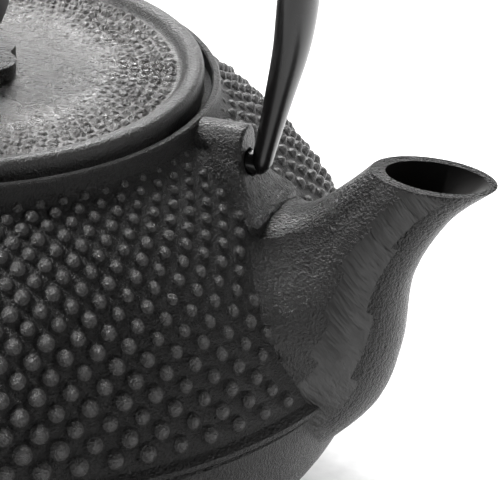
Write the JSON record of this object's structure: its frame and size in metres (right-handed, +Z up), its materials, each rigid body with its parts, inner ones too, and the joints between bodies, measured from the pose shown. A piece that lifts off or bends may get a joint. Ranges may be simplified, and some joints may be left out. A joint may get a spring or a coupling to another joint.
{
  "type": "teapot",
  "caption": "Cast-iron teapot with a hobnail body, ground spout, round lid with a ball knob, folding bail handle and a steel tea infuser.",
  "frame": {"origin": "centre of the flat underside", "axes": "+X towards the spout, +Z up"},
  "size_m": [0.1761, 0.1524, 0.1593],
  "materials": {
    "cast_iron": "sand-cast, black lacquered",
    "lid_iron": "sand-cast, black lacquered",
    "satin_black": "satin black",
    "stainless": "pressed and polished",
    "steel_mesh": "fine woven mesh"
  },
  "bodies": {
    "pot": {"pot_body": "cast_iron", "pot_base": "cast_iron", "spout": "cast_iron", "front_ear": "cast_iron", "rear_ear": "cast_iron"},
    "infuser": {"infuser_rim": "stainless", "infuser_wall": "steel_mesh", "infuser_floor": "steel_mesh", "infuser_base_ring": "stainless"},
    "lid": {"lid": "lid_iron", "knob_seat": "lid_iron", "knob_washer": "stainless"},
    "knob": {"lid_knob": "satin_black"},
    "handle": {"handle": "satin_black"}
  },
  "joints": [
    {"name": "handle_pivot", "type": "hinge", "parent": "pot", "child": "handle", "pos_m": [0, 0, 0.0745], "axis": [1, 0, 0], "range_deg": [-95, 95]},
    {"name": "infuser_lift", "type": "slide", "parent": "pot", "child": "infuser", "axis": [0, 0, 1], "range_m": [0, 0.04]},
    {"name": "lid_lift", "type": "slide", "parent": "infuser", "child": "lid", "axis": [0, 0, 1], "range_m": [0, 0.04]},
    {"name": "knob_spin", "type": "hinge", "parent": "lid", "child": "knob", "pos_m": [0, 0, 0.0972], "axis": [0, 0, 1], "continuous": true}
  ]
}
